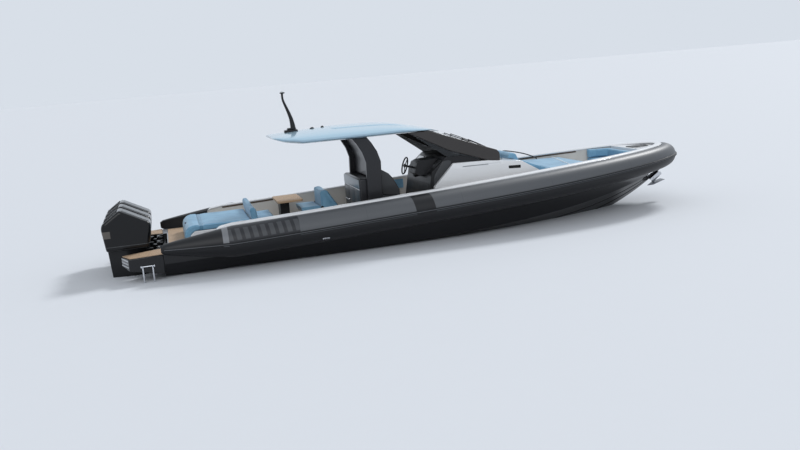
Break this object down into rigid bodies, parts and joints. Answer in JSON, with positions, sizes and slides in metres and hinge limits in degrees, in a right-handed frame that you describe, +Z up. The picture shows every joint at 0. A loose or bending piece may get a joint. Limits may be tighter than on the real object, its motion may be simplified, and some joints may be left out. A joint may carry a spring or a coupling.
{
  "type": "inflatable rib boat",
  "caption": "Large rigid inflatable boat with a deep-vee hull, air tube collar, T-top helm, cushioned decks and outboard engines on the transom.",
  "frame": {"origin": "on the waterline, on the centre plane, at the aft ends of the tubes", "axes": "+X to the bow, +Y to port, +Z up"},
  "size_m": [12.7613, 3.9126, 4.19],
  "materials": {
    "tube": "matt grey coated fabric",
    "tube_black": "matt black rubber",
    "hull_black": "gloss black gelcoat",
    "gelcoat_white": "gloss white gelcoat",
    "gelcoat_grey": "satin grey gelcoat",
    "teak": "tan teak planks with dark seams",
    "cushion_blue": "light blue marine upholstery",
    "hardtop_blue": "pale blue gloss lacquer",
    "charcoal": "satin charcoal",
    "console_black": "soft black with leather grain",
    "glass_smoked": "smoked glass",
    "steel": "polished stainless steel",
    "engine_black": "gloss black cowl with satin grey top panels",
    "engine_leg": "black paint",
    "prop_steel": "brushed stainless steel",
    "wheel_black": "stitched black rim"
  },
  "bodies": {
    "hull": {"tube_port": "tube", "tube_starboard": "tube", "rub_rail_port": "tube_black", "rub_rail_starboard": "tube_black", "liner_port": "gelcoat_white", "liner_starboard": "gelcoat_white", "hull_bottom": "hull_black", "hull_sides": "hull_black", "cockpit_sole": "teak", "aft_deck": "hull_black", "transom_board": "hull_black", "side_platforms": "hull_black", "deck_teak": "teak", "sunpad_base": "gelcoat_white", "sunpad_aft_cushion": "cushion_blue", "sunpad_cushion": "cushion_blue", "settee_backrest": "cushion_blue", "settee_cushion": "cushion_blue", "table_top": "teak", "table_pedestal": "console_black", "lounge_base": "gelcoat_white", "lounge_seat_cushion": "cushion_blue", "lounge_backrest": "cushion_blue", "helm_unit": "charcoal", "helm_seats": "charcoal", "helm_seat_cushions": "cushion_blue", "side_glass": "glass_smoked", "console": "console_black", "coachroof": "gelcoat_white", "windscreen": "glass_smoked", "windscreen_frame": "charcoal", "hardtop": "hardtop_blue", "hardtop_posts": "charcoal", "bow_liner": "gelcoat_white", "bow_sunpad": "cushion_blue", "bow_headrest": "cushion_blue", "bow_seat": "cushion_blue", "bow_backrest": "cushion_blue", "foredeck": "gelcoat_white", "stem_fitting": "steel", "anchor": "steel", "ladder_lugs": "steel", "transom_clamps": "engine_leg"},
    "steering_wheel": {"steering_wheel": "wheel_black"},
    "boarding_ladder": {"boarding_ladder": "steel"},
    "anchor_locker_lid": {"anchor_locker_lid": "console_black"},
    "light_mast": {"light_mast": "console_black"},
    "swivel_starboard": {"swivel_starboard": "engine_leg"},
    "outboard_starboard": {"cowl_starboard": "engine_black", "leg_starboard": "engine_leg"},
    "propeller_starboard": {"propeller_starboard": "prop_steel"},
    "swivel_centre": {"swivel_centre": "engine_leg"},
    "outboard_centre": {"cowl_centre": "engine_black", "leg_centre": "engine_leg"},
    "propeller_centre": {"propeller_centre": "prop_steel"},
    "swivel_port": {"swivel_port": "engine_leg"},
    "outboard_port": {"cowl_port": "engine_black", "leg_port": "engine_leg"},
    "propeller_port": {"propeller_port": "prop_steel"}
  },
  "joints": [
    {"name": "tilt_centre", "type": "hinge", "parent": "hull", "child": "swivel_centre", "pos_m": [-0.05, 0, 0.45], "axis": [0, 1, 0], "range_deg": [0, 60]},
    {"name": "steer_centre", "type": "hinge", "parent": "swivel_centre", "child": "outboard_centre", "pos_m": [-0.2, 0, 0.3], "axis": [0, 0, 1], "range_deg": [-30, 30]},
    {"name": "spin_centre", "type": "hinge", "parent": "outboard_centre", "child": "propeller_centre", "pos_m": [-0.85, 0, -0.65], "axis": [1, 0, 0], "continuous": true},
    {"name": "tilt_starboard", "type": "hinge", "parent": "hull", "child": "swivel_starboard", "pos_m": [-0.05, -0.7, 0.45], "axis": [0, 1, 0], "range_deg": [0, 60]},
    {"name": "steer_starboard", "type": "hinge", "parent": "swivel_starboard", "child": "outboard_starboard", "pos_m": [-0.2, -0.7, 0.3], "axis": [0, 0, 1], "range_deg": [-30, 30]},
    {"name": "spin_starboard", "type": "hinge", "parent": "outboard_starboard", "child": "propeller_starboard", "pos_m": [-0.85, -0.7, -0.65], "axis": [1, 0, 0], "continuous": true},
    {"name": "tilt_port", "type": "hinge", "parent": "hull", "child": "swivel_port", "pos_m": [-0.05, 0.7, 0.45], "axis": [0, 1, 0], "range_deg": [0, 60]},
    {"name": "steer_port", "type": "hinge", "parent": "swivel_port", "child": "outboard_port", "pos_m": [-0.2, 0.7, 0.3], "axis": [0, 0, 1], "range_deg": [-30, 30]},
    {"name": "spin_port", "type": "hinge", "parent": "outboard_port", "child": "propeller_port", "pos_m": [-0.85, 0.7, -0.65], "axis": [1, 0, 0], "continuous": true},
    {"name": "wheel_turn", "type": "hinge", "parent": "hull", "child": "steering_wheel", "pos_m": [5.12, -0.4, 1.49], "axis": [0.9511, 0, -0.309], "range_deg": [-720, 720]},
    {"name": "ladder_swing", "type": "hinge", "parent": "hull", "child": "boarding_ladder", "pos_m": [-0.27, -1.618, 0.3], "axis": [1, 0, 0], "range_deg": [-90, 0]},
    {"name": "locker_lid_lift", "type": "hinge", "parent": "hull", "child": "anchor_locker_lid", "pos_m": [10.964, 0, 1.302], "axis": [0, 1, 0], "range_deg": [0, 80]},
    {"name": "mast_fold", "type": "hinge", "parent": "hull", "child": "light_mast", "pos_m": [2.79, 0, 2.4643], "axis": [0, 1, 0], "range_deg": [-75, 0]}
  ],
  "couplings": [
    {"joint": "tilt_starboard", "follows": "tilt_centre", "ratio": 1},
    {"joint": "steer_starboard", "follows": "steer_centre", "ratio": 1},
    {"joint": "tilt_port", "follows": "tilt_centre", "ratio": 1},
    {"joint": "steer_port", "follows": "steer_centre", "ratio": 1},
    {"joint": "wheel_turn", "follows": "steer_centre", "ratio": 24}
  ]
}
